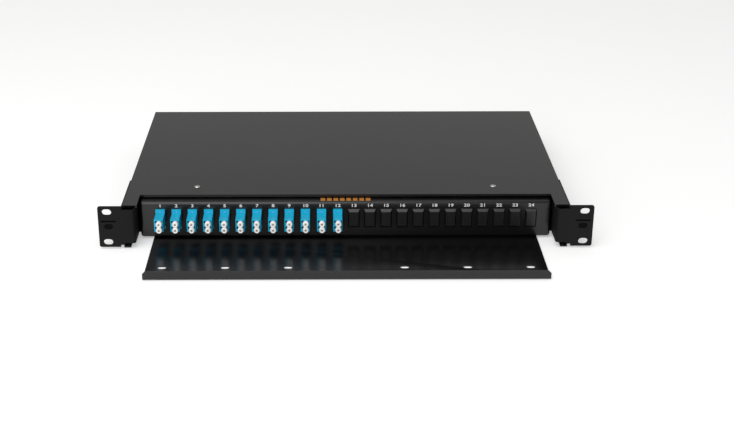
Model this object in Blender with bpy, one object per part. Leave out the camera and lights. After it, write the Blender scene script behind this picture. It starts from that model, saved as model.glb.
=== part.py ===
"""Rack-mount sliding fibre termination box, one rack unit high.

A folded steel case with two rack ears holds a drawer. The drawer carries a
flanged front panel with twelve duplex adapters, their dust caps and twelve
blank plugs, a cable shelf in front, and the splice tray, spools and cable
clamps behind. Metres, +Z up, +X to the right, +Y into the rack. The origin is
below the middle of the whole box, on the plane that the case stands on.
"""

import math

import bmesh
import bpy
from mathutils import Matrix, Vector

# Rack and case
RACK_WIDTH = 0.4826
SLOT_SPAN = 0.4651
SLOT_PITCH = 0.03175
SLOT_LENGTH = 0.0092
SLOT_HEIGHT = 0.0064
SLOT_CENTRE_Z = 0.0230
CASE_HALF = 0.2179
CASE_HEIGHT = 0.0430
CASE_REAR = 0.2860
SHEET = 0.0012
GAP = 0.0003
CASE_FLANGE = 0.0080

# Distances measured back from the front plane of the rack ears
SHELF_REACH = 0.0710
ARM_FRONT = 0.0025
COVER_FRONT = 0.0074
NOTCH_BACK = 0.0345
PANEL_FACE = 0.0240
FLANGE_DEPTH = 0.0115
GLAND_REACH = 0.0220
EAR_Y = SHELF_REACH - (SHELF_REACH + CASE_REAR + GLAND_REACH) / 2

# Top cover
NOTCH_HALF = 0.2040
HEM = 0.0026
COVER_SCREW_X = 0.1490
COVER_SCREW_BACK = 0.0550
COVER_HOLE = 0.0019
HOLE_LOW = 0.0300
HOLE_HIGH = 0.0500
BRACE_HALF = 0.0080

# Rack ears
EAR_THICK = 0.0020
EAR_LOW = 0.0020
EAR_HIGH = 0.0447
EAR_STEP = 0.2205
EAR_CORNER = 0.0020
PLATE_OVERLAP = 0.0030
BLOCK_INNER = 0.2058
BLOCK_LOW = 0.0059
BLOCK_HIGH = 0.0408
FOOT_INNER = 0.2166
FOOT_LOW = 0.0042
RETURN_THICK = 0.0015
RETURN_HIGH = 0.0400
RETURN_BACK = 0.0330
EAR_BEND = 0.0025
SIDE_FLANGE_LOW = 0.0062
SIDE_FLANGE_HIGH = 0.0413
SIDE_FLANGE_BACK = 0.0765
ARM_WIDTH = 0.0052
ARM_HIGH = 0.0385
MOUTH_BACK = 0.0400

# Drawer
PANEL_HALF = 0.2039
PANEL_LOW = 0.0015
PANEL_HIGH = 0.0393
PANEL_BEND = 0.0025
PANEL_CORNER = 0.0030
TRAY_HALF = 0.2024
TRAY_FRONT = 0.0266
TRAY_BACK = 0.2700
TRAY_HIGH = 0.0365
TRAY_BEND = 0.0020
TRAY_REAR_LIP = 0.0150
SHELF_HALF = 0.1910
SHELF_LOW = 0.0002
SHELF_SHEET = 0.0010
SHELF_BACK = 0.0360
LIP_HIGH = 0.0096
LIP_CHAMFER = 0.0030
LIP_BEND = 0.0015
TIE_SLOT_X = (0.0555, 0.1155, 0.1755)
TIE_SLOT_BACK = -0.0453
TIE_SLOT_LENGTH = 0.0084
TIE_SLOT_WIDTH = 0.0054

# Ports
PORTS = 24
PORT_PITCH = 0.01596
PORT_SHIFT = 0.0002
ADAPTERS = 12
PORT_Z = 0.0219
CUTOUT_WIDTH = 0.0097
CUTOUT_HEIGHT = 0.0136
BODY_WIDTH = 0.0088
BODY_HEIGHT = 0.0130
BODY_WALL = 0.0009
BODY_FORWARD = 0.0183
BODY_REARWARD = 0.0160
FLANGE_WIDTH = 0.0091
FLANGE_HEIGHT = 0.0204
FLANGE_THICK = 0.0020
SOCKET_X = 0.0005
SOCKET_SPACING = 0.00625
SOCKET_WIDTH = 0.0050
SOCKET_HEIGHT = 0.0048
SOCKET_DEPTH = 0.0090
KEYWAY = 0.0022
KEYWAY_LEFT = 0.0016
KEYWAY_RIGHT = 0.0007
CAP_RADIUS = 0.00285
CAP_DROP = 0.0005
CAP_NECK = 0.0018
CAP_LENGTH = 0.0042
CAP_STUB_RADIUS = 0.0019
CAP_STUB_LENGTH = 0.0070
BLANK_WIDTH = 0.0116
BLANK_HEIGHT = 0.0200
BLANK_THICK = 0.0028
BLANK_BEVEL = 0.0024
BLANK_SIDE_BEVEL = 0.0013
BLANK_RIM = 0.0004
BLANK_PLUG_DEPTH = 0.0080

# Slides
RAIL_FRONT = 0.0380
RAIL_BACK = 0.2800
RAIL_SHEET = 0.0015
RAIL_LOW = 0.0129
RAIL_HIGH = 0.0271
RAIL_INNER = 0.2032
RUNNER_OUTER = 0.2054
RUNNER_LOW = 0.0150
RUNNER_HIGH = 0.0250
RUNNER_FRONT = 0.0450
RUNNER_BACK = 0.2680

# Inside the drawer
FLOOR = PANEL_LOW + 2 * SHEET + 2 * GAP
SPLICE_HALF = 0.0800
SPLICE_FRONT = 0.1100
SPLICE_BACK = 0.2150
SPLICE_HEIGHT = 0.0120
SPLICE_WALL = 0.0015
SPLICE_CORNER = 0.0180
LID_THICK = 0.0015
SPOOL_X = 0.1400
SPOOL_BACK = 0.1350
SPOOL_HUB = 0.0180
SPOOL_RIM = 0.0250
SPOOL_WALL = 0.0020
SPOOL_HEIGHT = 0.0140
CLAMP_X = 0.1200
CLAMP_BACK = 0.2500
CLAMP_LENGTH = 0.0120
CLAMP_ARCH = 0.0065
CLAMP_WALL = 0.0015
CLAMP_FOOT = 0.0150
CLAMP_SPRING = 0.0045

# Cable glands
GLAND_X = 0.1700
GLAND_Z = 0.0210
GLAND_BORE = 0.0050
GLAND_STUB = 0.0090
GLAND_FLANGE = 0.0125
GLAND_THREAD = 0.0080
GLAND_NUT = 0.0115
GLAND_INSIDE = 0.0080
GLAND_FLANGE_TOP = 0.0055
GLAND_THREAD_TOP = 0.0150
NUT_PLAY = 0.0004
NUT_LOW = 0.0062
NUT_SHOULDER = 0.0160

FINISHES = {
    "black_powder_coat": ((0.050, 0.048, 0.050), 0.50, 0.0),
    "zinc_steel": ((0.62, 0.62, 0.60), 0.35, 1.0),
    "steel_screw": ((0.70, 0.69, 0.67), 0.25, 1.0),
    "aqua_plastic": ((0.012, 0.370, 0.600), 0.35, 0.0),
    "white_plastic": ((0.82, 0.82, 0.80), 0.45, 0.0),
    "black_plastic": ((0.018, 0.018, 0.019), 0.40, 0.0),
    "grey_plastic": ((0.55, 0.56, 0.57), 0.50, 0.0),
}


def back(distance):
    """World Y of a plane this far behind the front of the rack ears."""
    return EAR_Y + distance


def clear_scene():
    """Remove every object, so that the model starts from nothing."""
    for item in list(bpy.data.objects):
        bpy.data.objects.remove(item, do_unlink=True)


def finish_material(name):
    """A Principled material for one finish, made once."""
    if name in bpy.data.materials:
        return bpy.data.materials[name]
    colour, roughness, metallic = FINISHES[name]
    made = bpy.data.materials.new(name)
    made.use_nodes = True
    shader = made.node_tree.nodes["Principled BSDF"]
    shader.inputs["Base Color"].default_value = (*colour, 1.0)
    shader.inputs["Roughness"].default_value = roughness
    shader.inputs["Metallic"].default_value = metallic
    made.diffuse_color = (*colour, 1.0)
    return made


def place(name, mesh, finish, parent, location=(0.0, 0.0, 0.0)):
    """Link one named sub-part under its parent empty, at a world place."""
    made = bpy.data.objects.new(name, mesh)
    bpy.context.scene.collection.objects.link(made)
    made.parent = parent
    made.location = Vector(location) - parent.location
    if finish_material(finish).name not in mesh.materials:
        mesh.materials.append(finish_material(finish))
    return made


def group(name, location):
    """An empty that a rigid body's pieces are parented to."""
    made = bpy.data.objects.new(name, None)
    made.location = location
    bpy.context.scene.collection.objects.link(made)
    return made


def to_mesh(bm, name="solid"):
    """Close off a bmesh: outward faces, then a plain mesh."""
    bmesh.ops.recalc_face_normals(bm, faces=bm.faces)
    mesh = bpy.data.meshes.new(name)
    bm.to_mesh(mesh)
    bm.free()
    return mesh


def slab(low, high):
    """A box between two corners."""
    bm = bmesh.new()
    bmesh.ops.create_cube(bm, size=1.0)
    size = [high[i] - low[i] for i in range(3)]
    middle = [(high[i] + low[i]) / 2 for i in range(3)]
    bmesh.ops.scale(bm, vec=size, verts=bm.verts)
    bmesh.ops.translate(bm, vec=middle, verts=bm.verts)
    return to_mesh(bm)


def slabs(corner_pairs):
    """Several boxes that don't touch, as one mesh, to cut with."""
    bm = bmesh.new()
    for low, high in corner_pairs:
        bm.from_mesh(slab(low, high))
    return to_mesh(bm)


def prism(outline, axis, start, end):
    """An outline pushed along X, Y or Z. Its points are in the other two axes, in order."""
    def lift(point, along):
        values = list(point)
        values.insert("XYZ".index(axis), along)
        return values

    bm = bmesh.new()
    first = [bm.verts.new(lift(point, start)) for point in outline]
    last = [bm.verts.new(lift(point, end)) for point in outline]
    bm.faces.new(first)
    bm.faces.new(last)
    for i, corner in enumerate(first):
        j = (i + 1) % len(first)
        bm.faces.new((corner, first[j], last[j], last[i]))
    return to_mesh(bm)


def turned(profile, segments, closed):
    """A profile of (radius, height) points turned about Z: closed for a ring, open from axis to axis."""
    bm = bmesh.new()
    verts = [bm.verts.new((radius, 0.0, height)) for radius, height in profile]
    edges = [bm.edges.new(pair) for pair in zip(verts, verts[1:])]
    if closed:
        edges.append(bm.edges.new((verts[-1], verts[0])))
    bmesh.ops.spin(bm, geom=verts + edges, cent=(0, 0, 0), axis=(0, 0, 1), angle=math.tau, steps=segments)
    bmesh.ops.remove_doubles(bm, verts=bm.verts, dist=1e-6)
    return to_mesh(bm)


def moved(mesh, offset=(0, 0, 0), turn=None):
    """The mesh turned by an optional matrix, then shifted."""
    if turn is not None:
        mesh.transform(turn)
    mesh.transform(Matrix.Translation(offset))
    return mesh


def boolean(operation, base, tool):
    """The exact Boolean of two meshes, as a new mesh."""
    body = bpy.data.objects.new("body", base)
    cutter = bpy.data.objects.new("cutter", tool)
    for item in (body, cutter):
        bpy.context.scene.collection.objects.link(item)
    step = body.modifiers.new("cut", "BOOLEAN")
    step.operation = operation
    step.solver = "EXACT"
    step.object = cutter
    graph = bpy.context.evaluated_depsgraph_get()
    result = bpy.data.meshes.new_from_object(body.evaluated_get(graph))
    for item in (body, cutter):
        bpy.data.objects.remove(item, do_unlink=True)
    return result


def add(base, *tools):
    """Union of a mesh with others."""
    for tool in tools:
        base = boolean("UNION", base, tool)
    return base


def cut(base, *tools):
    """A mesh less others."""
    for tool in tools:
        base = boolean("DIFFERENCE", base, tool)
    return base


def arc(centre, radius, start, end, steps):
    """Points on an arc, in degrees, both ends included."""
    points = []
    for i in range(steps + 1):
        angle = math.radians(start + (end - start) * i / steps)
        points.append((centre[0] + radius * math.cos(angle), centre[1] + radius * math.sin(angle)))
    return points


def obround(centre, length, width, steps=8):
    """Outline of a slot with round ends, long along its first axis."""
    radius = width / 2
    reach = length / 2 - radius
    right = arc((centre[0] + reach, centre[1]), radius, -90, 90, steps)
    left = arc((centre[0] - reach, centre[1]), radius, 90, 270, steps)
    return right + left


def rounded_rectangle(half_width, half_depth, radius, steps=4):
    """Outline centred on zero with round corners."""
    points = []
    for sign_x, sign_y, start in ((1, -1, -90), (1, 1, 0), (-1, 1, 90), (-1, -1, 180)):
        centre = (sign_x * (half_width - radius), sign_y * (half_depth - radius))
        points += arc(centre, radius, start, start + 90, steps)
    return points


def mirrored(mesh):
    """A copy of the mesh on the other side of the middle plane."""
    copy = mesh.copy()
    copy.transform(Matrix.Diagonal((-1, 1, 1, 1)))
    copy.flip_normals()
    return copy


def case_base():
    """Bottom, side walls with inward top flanges, arms, and the rear wall with two gland holes."""
    top = CASE_HEIGHT - SHEET - GAP
    half = CASE_HALF
    right = [
        (half, 0.0), (half, top), (half - CASE_FLANGE, top), (half - CASE_FLANGE, top - SHEET),
        (half - SHEET, top - SHEET), (half - SHEET, SHEET),
    ]
    left = [(-x, z) for x, z in reversed(right)]
    shell = prism(right + left, "Y", back(ARM_FRONT), back(CASE_REAR))
    rear_wall = slab((-half, back(CASE_REAR - SHEET), 0.0), (half, back(CASE_REAR), top))
    rear_flange = slab(
        (-half + SHEET / 2, back(CASE_REAR - CASE_FLANGE), top - SHEET),
        (half - SHEET / 2, back(CASE_REAR - SHEET / 2), top),
    )
    shell = add(shell, rear_wall, rear_flange)
    arm_inner = BLOCK_INNER + ARM_WIDTH
    mouth = slab((-arm_inner, back(0.0), -SHEET), (arm_inner, back(MOUTH_BACK), 2 * SHEET))
    hem_room = slab(
        (-half + SHEET, back(0.0), top - 2 * SHEET),
        (half - SHEET, back(COVER_FRONT + SHEET + 2 * GAP), top + SHEET),
    )
    arm_tops = slab((-half - SHEET, back(0.0), ARM_HIGH), (half + SHEET, back(COVER_FRONT), CASE_HEIGHT))
    shell = cut(shell, mouth, hem_room, arm_tops)
    reach = GLAND_STUB
    for side in (-1, 1):
        hole = moved(
            turned([(0, -reach), (GLAND_STUB + GAP, -reach), (GLAND_STUB + GAP, reach), (0, reach)], 24, False),
            (side * GLAND_X, back(CASE_REAR), GLAND_Z),
            Matrix.Rotation(math.radians(90), 4, "X"),
        )
        shell = cut(shell, hole)
    return shell


def top_cover():
    """Flat cover with the wide front notch and a folded edge along the front."""
    half = CASE_HALF
    under = CASE_HEIGHT - SHEET
    outline = [
        (-half, back(COVER_FRONT)), (-NOTCH_HALF, back(COVER_FRONT)),
        (-NOTCH_HALF, back(NOTCH_BACK)), (NOTCH_HALF, back(NOTCH_BACK)),
        (NOTCH_HALF, back(COVER_FRONT)), (half, back(COVER_FRONT)),
        (half, back(CASE_REAR)), (-half, back(CASE_REAR)),
    ]
    cover = prism(outline, "Z", under, CASE_HEIGHT)
    hem_low = CASE_HEIGHT - HEM
    hem_top = CASE_HEIGHT - SHEET / 2
    cover = add(cover, slab(
        (-NOTCH_HALF - SHEET, back(NOTCH_BACK), hem_low), (NOTCH_HALF + SHEET, back(NOTCH_BACK + SHEET), hem_top),
    ))
    for side in (-1, 1):
        inner, outer = sorted((side * NOTCH_HALF, side * (half - SHEET - GAP)))
        cover = add(cover, slab((inner, back(COVER_FRONT), hem_low), (outer, back(COVER_FRONT + SHEET), hem_top)))
        cover = cut(cover, screw_hole(side))
    return cover


def screw_hole(side):
    """Cutter for one cover screw, through the cover and the brace below it."""
    profile = [(0, HOLE_LOW), (COVER_HOLE, HOLE_LOW), (COVER_HOLE, HOLE_HIGH), (0, HOLE_HIGH)]
    return moved(turned(profile, 12, False), (side * COVER_SCREW_X, back(COVER_SCREW_BACK), 0.0))


def cross_brace():
    """Joggled strip below the cover: its ends lie under the case flanges, its middle under the cover."""
    high = CASE_HEIGHT - SHEET - GAP
    step = SHEET + GAP
    inner = CASE_HALF - CASE_FLANGE - GAP
    outer = CASE_HALF - SHEET - GAP
    right = [
        (inner, high), (inner, high - step), (outer, high - step),
        (outer, high - step - SHEET), (inner - SHEET, high - step - SHEET), (inner - SHEET, high - SHEET),
    ]
    left = [(-x, z) for x, z in reversed(right)]
    strip = prism(right + left, "Y", back(COVER_SCREW_BACK - BRACE_HALF), back(COVER_SCREW_BACK + BRACE_HALF))
    return cut(strip, screw_hole(-1), screw_hole(1))


def cover_screw():
    """Round-head screw, turned about its own axis with the head's seat at zero."""
    profile = [
        (0, -0.0051), (0.0015, -0.0051), (0.0015, 0), (0.0031, 0), (0.0031, 0.0005), (0.0026, 0.0010),
        (0.0015, 0.0013), (0, 0.0014),
    ]
    return turned(profile, 16, False)


def ear_outline(bend_end, return_back):
    """Plan of the block's sheet, from the plate round its bend to that angle, and on to the return's end."""
    bend = (BLOCK_INNER + EAR_BEND, EAR_BEND)
    inner_bend = EAR_BEND - RETURN_THICK
    outline = [(EAR_STEP + PLATE_OVERLAP, 0.0)]
    outline += arc(bend, EAR_BEND, 270, bend_end, 6)
    if return_back:
        outline += [(BLOCK_INNER, return_back), (BLOCK_INNER + RETURN_THICK, return_back)]
    outline += arc(bend, inner_bend, bend_end, 270, 3)[:-1]
    return outline + [(BLOCK_INNER + EAR_BEND, EAR_THICK), (EAR_STEP + PLATE_OVERLAP, EAR_THICK)]


def ear_plate():
    """The flat plate with round outer corners, up to the side flange."""
    half = RACK_WIDTH / 2
    inner = CASE_HALF + GAP
    outline = [(EAR_STEP, EAR_LOW)]
    outline += arc((half - EAR_CORNER, EAR_LOW + EAR_CORNER), EAR_CORNER, -90, 0, 5)
    outline += arc((half - EAR_CORNER, EAR_HIGH - EAR_CORNER), EAR_CORNER, 0, 90, 5)
    outline += [(inner, EAR_HIGH), (inner, BLOCK_LOW + SHEET), (EAR_STEP, BLOCK_LOW + SHEET)]
    return prism(outline, "Y", 0.0, EAR_THICK)


def rack_ear():
    """Right-hand bracket: slotted ear plate, front block with a bent return, and the side flange."""
    folded = prism(ear_outline(180, RETURN_BACK), "Z", BLOCK_LOW, RETURN_HIGH)
    crown = prism(ear_outline(200, None), "Z", BLOCK_LOW + SHEET, BLOCK_HIGH)
    foot = slab((FOOT_INNER, 0.0, FOOT_LOW), (EAR_STEP + SHEET, EAR_THICK, BLOCK_LOW + SHEET))
    flange_x = CASE_HALF + GAP
    low = (flange_x, EAR_THICK / 2, SIDE_FLANGE_LOW)
    flange = slab(low, (flange_x + RETURN_THICK, SIDE_FLANGE_BACK, SIDE_FLANGE_HIGH))
    ear = add(folded, crown, ear_plate(), foot, flange)
    for side in (-1, 1):
        centre = (SLOT_SPAN / 2, SLOT_CENTRE_Z + side * SLOT_PITCH / 2)
        slot = obround(centre, SLOT_LENGTH, SLOT_HEIGHT, 12)
        ear = cut(ear, prism(slot, "Y", -EAR_THICK, 2 * EAR_THICK))
    return ear


def flanged_dish(grow, front, rear):
    """Box with its front edges and its corners rounded, shrunk by grow on every side."""
    bm = bmesh.new()
    bm.from_mesh(slab((-PANEL_HALF + grow, front, PANEL_LOW + grow), (PANEL_HALF - grow, rear, PANEL_HIGH - grow)))
    bm.verts.ensure_lookup_table()
    along = [e for e in bm.edges if abs(e.verts[0].co.y - e.verts[1].co.y) > 1e-4]
    bmesh.ops.bevel(
        bm, geom=along, offset=PANEL_CORNER - grow, offset_type="OFFSET", segments=3, profile=0.5, affect="EDGES",
    )
    rim = [e for e in bm.edges if all(abs(v.co.y - front) < 1e-5 for v in e.verts)]
    bmesh.ops.bevel(
        bm, geom=rim, offset=PANEL_BEND - grow, offset_type="OFFSET", segments=3, profile=0.5, affect="EDGES",
    )
    return to_mesh(bm)


def port_x(number):
    """X of a port, counted from 1 at the left."""
    return (number - (PORTS + 1) / 2) * PORT_PITCH + PORT_SHIFT


def front_panel():
    """Drawer front, flanged back on four sides, with a row of cutouts."""
    front = back(PANEL_FACE)
    outer = flanged_dish(0.0, front, front + FLANGE_DEPTH)
    hollow = flanged_dish(SHEET, front + SHEET, front + 2 * FLANGE_DEPTH)
    cutouts = []
    for number in range(1, PORTS + 1):
        x = port_x(number)
        low = (x - CUTOUT_WIDTH / 2, front - SHEET, PORT_Z - CUTOUT_HEIGHT / 2)
        high = (x + CUTOUT_WIDTH / 2, front + 3 * SHEET, PORT_Z + CUTOUT_HEIGHT / 2)
        cutouts.append((low, high))
    return cut(outer, hollow, slabs(cutouts))


def drawer_tray():
    """Drawer floor with two folded sides and a low rear lip."""
    inner_bend = TRAY_BEND - SHEET
    low = FLOOR - SHEET
    centre = (TRAY_HALF - TRAY_BEND, low + TRAY_BEND)
    right = arc(centre, TRAY_BEND, -90, 0, 4)
    right += [(TRAY_HALF, TRAY_HIGH), (TRAY_HALF - SHEET, TRAY_HIGH)]
    right += arc(centre, inner_bend, 0, -90, 2)
    left = [(-x, z) for x, z in reversed(right)]
    channel = prism(right + left, "Y", back(TRAY_FRONT), back(TRAY_BACK))
    lip = slab(
        (-TRAY_HALF + TRAY_BEND, back(TRAY_BACK - SHEET), low + SHEET / 2),
        (TRAY_HALF - TRAY_BEND, back(TRAY_BACK), low + TRAY_REAR_LIP),
    )
    return add(channel, lip)


def cable_shelf():
    """Shelf in front of the ports: bent-up lip, chamfered lip corners, six cable-tie slots."""
    low = SHELF_LOW
    front = back(-SHELF_REACH)
    rear = back(SHELF_BACK)
    centre = (front + LIP_BEND, low + LIP_BEND)
    outline = [(rear, low + SHELF_SHEET), (rear, low)]
    outline += arc(centre, LIP_BEND, -90, -180, 3)
    outline += [(front, LIP_HIGH), (front + SHELF_SHEET, LIP_HIGH)]
    outline += arc(centre, LIP_BEND - SHELF_SHEET, -180, -90, 2)
    shelf = prism(outline, "X", -SHELF_HALF, SHELF_HALF)
    for side in (-1, 1):
        edge = side * SHELF_HALF
        corner = [
            (edge - side * LIP_CHAMFER, LIP_HIGH), (edge - side * LIP_CHAMFER, LIP_HIGH + LIP_CHAMFER),
            (edge + side * LIP_CHAMFER, LIP_HIGH + LIP_CHAMFER), (edge + side * LIP_CHAMFER, LIP_HIGH - LIP_CHAMFER),
            (edge, LIP_HIGH - LIP_CHAMFER),
        ]
        shelf = cut(shelf, prism(corner, "Y", front - SHEET, front + 2 * SHEET))
        for x in TIE_SLOT_X:
            slot = obround((side * x, back(TIE_SLOT_BACK)), TIE_SLOT_LENGTH, TIE_SLOT_WIDTH, 8)
            shelf = cut(shelf, prism(slot, "Z", low - SHEET, low + 2 * SHEET))
    return shelf


def adapter():
    """Duplex adapter about its port centre, the panel face at Y = 0: two sockets in front, one behind."""
    w, h = BODY_WIDTH / 2, BODY_HEIGHT / 2
    body = slab((-w, -BODY_FORWARD, -h), (w, BODY_REARWARD, h))
    flange = slab(
        (-FLANGE_WIDTH / 2, -GAP - FLANGE_THICK, -FLANGE_HEIGHT / 2), (FLANGE_WIDTH / 2, -GAP, FLANGE_HEIGHT / 2),
    )
    body = add(body, flange)
    left, right = SOCKET_X - SOCKET_WIDTH / 2, SOCKET_X + SOCKET_WIDTH / 2
    for side in (-1, 1):
        middle = side * SOCKET_SPACING / 2 - CAP_DROP
        low, high = middle - SOCKET_HEIGHT / 2, middle + SOCKET_HEIGHT / 2
        socket = [
            (right, low), (right, high - KEYWAY), (right + KEYWAY_RIGHT, high - KEYWAY), (right + KEYWAY_RIGHT, high),
            (left - KEYWAY_LEFT, high), (left - KEYWAY_LEFT, high - KEYWAY), (left, high - KEYWAY), (left, low),
        ]
        body = cut(body, prism(socket, "Y", -BODY_FORWARD - SHEET, -BODY_FORWARD + SOCKET_DEPTH))
    w, h = w - BODY_WALL, h - BODY_WALL
    rear = slab((-w, BODY_REARWARD - SOCKET_DEPTH, -h), (w, BODY_REARWARD + SHEET, h))
    return cut(body, rear)


def dust_cap():
    """Two round heads joined by a neck, with a stub for each socket; the head's seat is at Y = 0."""
    angle = math.degrees(math.asin(CAP_NECK / CAP_RADIUS))
    offset = SOCKET_SPACING / 2
    heads = arc((0, offset), CAP_RADIUS, -90 + angle, 270 - angle, 10)
    heads += arc((0, -offset), CAP_RADIUS, 90 + angle, 450 - angle, 10)
    cap = prism(heads, "Y", -CAP_LENGTH, 0.0)
    for side in (-1, 1):
        stub = arc((0, side * offset), CAP_STUB_RADIUS, 0, 315, 7)
        cap = add(cap, prism(stub, "Y", -CAP_LENGTH / 2, CAP_STUB_LENGTH))
    return cap


def blank_plug():
    """Bevelled blank with a plug that fills the cutout; the panel face is at Y = 0."""
    bm = bmesh.new()
    rings = []
    for depth, side, rise in ((0.0, 0.0, 0.0), (BLANK_RIM, 0.0, 0.0), (BLANK_THICK, BLANK_SIDE_BEVEL, BLANK_BEVEL)):
        y, w, h = -GAP - depth, BLANK_WIDTH / 2 - side, BLANK_HEIGHT / 2 - rise
        rings.append([bm.verts.new(corner) for corner in ((-w, y, -h), (w, y, -h), (w, y, h), (-w, y, h))])
    for near, far in zip(rings, rings[1:]):
        for i in range(len(near)):
            j = (i + 1) % len(near)
            bm.faces.new((near[i], near[j], far[j], far[i]))
    bm.faces.new(rings[0])
    bm.faces.new(rings[-1])
    plug = slab(
        (-BODY_WIDTH / 2, -GAP - SHEET, -BODY_HEIGHT / 2), (BODY_WIDTH / 2, BLANK_PLUG_DEPTH, BODY_HEIGHT / 2),
    )
    return add(to_mesh(bm), plug)


def guide_rail():
    """Right-hand channel on the case wall, open towards the drawer."""
    outer = CASE_HALF - SHEET - GAP
    outline = [
        (outer, RAIL_LOW), (outer, RAIL_HIGH), (RAIL_INNER, RAIL_HIGH), (RAIL_INNER, RAIL_HIGH - RAIL_SHEET),
        (outer - RAIL_SHEET, RAIL_HIGH - RAIL_SHEET), (outer - RAIL_SHEET, RAIL_LOW + RAIL_SHEET),
        (RAIL_INNER, RAIL_LOW + RAIL_SHEET), (RAIL_INNER, RAIL_LOW),
    ]
    return prism(outline, "Y", back(RAIL_FRONT), back(RAIL_BACK))


def runner():
    """Right-hand bar on the drawer's side that runs between the rail's lips."""
    return slab((TRAY_HALF + GAP, back(RUNNER_FRONT), RUNNER_LOW), (RUNNER_OUTER, back(RUNNER_BACK), RUNNER_HIGH))


def splice_tray():
    """Open plastic tray for the splices, with round corners."""
    middle = (0.0, back((SPLICE_FRONT + SPLICE_BACK) / 2), 0.0)
    depth = (SPLICE_BACK - SPLICE_FRONT) / 2
    low = FLOOR + GAP
    outer = rounded_rectangle(SPLICE_HALF, depth, SPLICE_CORNER)
    inner = rounded_rectangle(SPLICE_HALF - SPLICE_WALL, depth - SPLICE_WALL, SPLICE_CORNER - SPLICE_WALL)
    tray = prism(outer, "Z", low, low + SPLICE_HEIGHT)
    return moved(cut(tray, prism(inner, "Z", low + SPLICE_WALL, low + 2 * SPLICE_HEIGHT)), middle)


def splice_tray_lid():
    """Flat lid over the splice tray."""
    middle = (0.0, back((SPLICE_FRONT + SPLICE_BACK) / 2), 0.0)
    low = FLOOR + SPLICE_HEIGHT + 2 * GAP
    outline = rounded_rectangle(SPLICE_HALF, (SPLICE_BACK - SPLICE_FRONT) / 2, SPLICE_CORNER)
    return moved(prism(outline, "Z", low, low + LID_THICK), middle)


def fibre_spool():
    """Open hub with a rim top and bottom, which the slack fibre is wound round."""
    bore = SPOOL_HUB - SPOOL_WALL
    high = SPOOL_HEIGHT
    profile = [
        (bore, 0), (SPOOL_RIM, 0), (SPOOL_RIM, SPOOL_WALL), (SPOOL_HUB, SPOOL_WALL),
        (SPOOL_HUB, high - SPOOL_WALL), (SPOOL_RIM, high - SPOOL_WALL), (SPOOL_RIM, high), (bore, high),
    ]
    return turned(profile, 24, True)


def cable_clamp():
    """Saddle that holds an incoming cable down on the drawer floor."""
    arch, wall, foot = CLAMP_ARCH, CLAMP_WALL, CLAMP_FOOT
    outline = [(foot, 0), (foot, wall), (arch + wall, wall)]
    outline += arc((0, CLAMP_SPRING), arch + wall, 0, 180, 8)
    outline += [(-arch - wall, wall), (-foot, wall), (-foot, 0), (-arch, 0)]
    outline += arc((0, CLAMP_SPRING), arch, 180, 0, 8)
    outline += [(arch, 0)]
    return prism(outline, "Y", -CLAMP_LENGTH / 2, CLAMP_LENGTH / 2)


def gland_body():
    """Threaded stub, hexagon-sized flange and outer thread, turned about Z with the wall face at 0."""
    inside = -SHEET - GLAND_INSIDE
    profile = [
        (GLAND_BORE, inside), (GLAND_STUB, inside), (GLAND_STUB, GAP), (GLAND_FLANGE, GAP),
        (GLAND_FLANGE, GLAND_FLANGE_TOP), (GLAND_THREAD, GLAND_FLANGE_TOP),
        (GLAND_THREAD, GLAND_THREAD_TOP), (GLAND_BORE, GLAND_THREAD_TOP),
    ]
    return turned(profile, 16, True)


def gland_nut():
    """Domed nut over the gland's outer thread."""
    inner = GLAND_THREAD + NUT_PLAY
    seat = GLAND_THREAD_TOP + NUT_PLAY
    profile = [
        (inner, NUT_LOW), (GLAND_NUT, NUT_LOW), (GLAND_NUT, NUT_SHOULDER), (0.0100, 0.0195),
        (0.0075, GLAND_REACH), (GLAND_BORE, GLAND_REACH), (GLAND_BORE, seat), (inner, seat),
    ]
    return turned(profile, 16, True)


def build_case(case):
    """Everything that stays with the rack."""
    place("case_base", case_base(), "black_powder_coat", case)
    place("top_cover", top_cover(), "black_powder_coat", case)
    place("cross_brace", cross_brace(), "zinc_steel", case)
    ear = moved(rack_ear(), (0.0, EAR_Y, 0.0))
    place("rack_ear_right", ear, "black_powder_coat", case)
    place("rack_ear_left", mirrored(ear), "black_powder_coat", case)
    rail = guide_rail()
    place("guide_rail_right", rail, "black_powder_coat", case)
    place("guide_rail_left", mirrored(rail), "black_powder_coat", case)
    upright = Matrix.Rotation(math.radians(-90), 4, "X")
    body = moved(gland_body(), turn=upright)
    nut = moved(gland_nut(), turn=upright)
    screw = cover_screw()
    for side, word in ((-1, "left"), (1, "right")):
        seat = (side * COVER_SCREW_X, back(COVER_SCREW_BACK), CASE_HEIGHT + GAP)
        place("cover_screw_" + word, screw, "steel_screw", case, seat)
        wall = (side * GLAND_X, back(CASE_REAR), GLAND_Z)
        place("gland_body_" + word, body, "black_plastic", case, wall)
        place("gland_nut_" + word, nut, "black_plastic", case, wall)


def build_drawer(drawer):
    """Everything that slides out, but the dust caps."""
    place("drawer_tray", drawer_tray(), "black_powder_coat", drawer)
    place("front_panel", front_panel(), "black_powder_coat", drawer)
    place("cable_shelf", cable_shelf(), "black_powder_coat", drawer)
    bar = runner()
    place("runner_right", bar, "black_powder_coat", drawer)
    place("runner_left", mirrored(bar), "black_powder_coat", drawer)
    place("splice_tray", splice_tray(), "grey_plastic", drawer)
    place("splice_tray_lid", splice_tray_lid(), "grey_plastic", drawer)
    spool = fibre_spool()
    clamp = cable_clamp()
    for side, word in ((-1, "left"), (1, "right")):
        place("fibre_spool_" + word, spool, "grey_plastic", drawer, (side * SPOOL_X, back(SPOOL_BACK), FLOOR + GAP))
        place("cable_clamp_" + word, clamp, "zinc_steel", drawer, (side * CLAMP_X, back(CLAMP_BACK), FLOOR + GAP))


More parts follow.
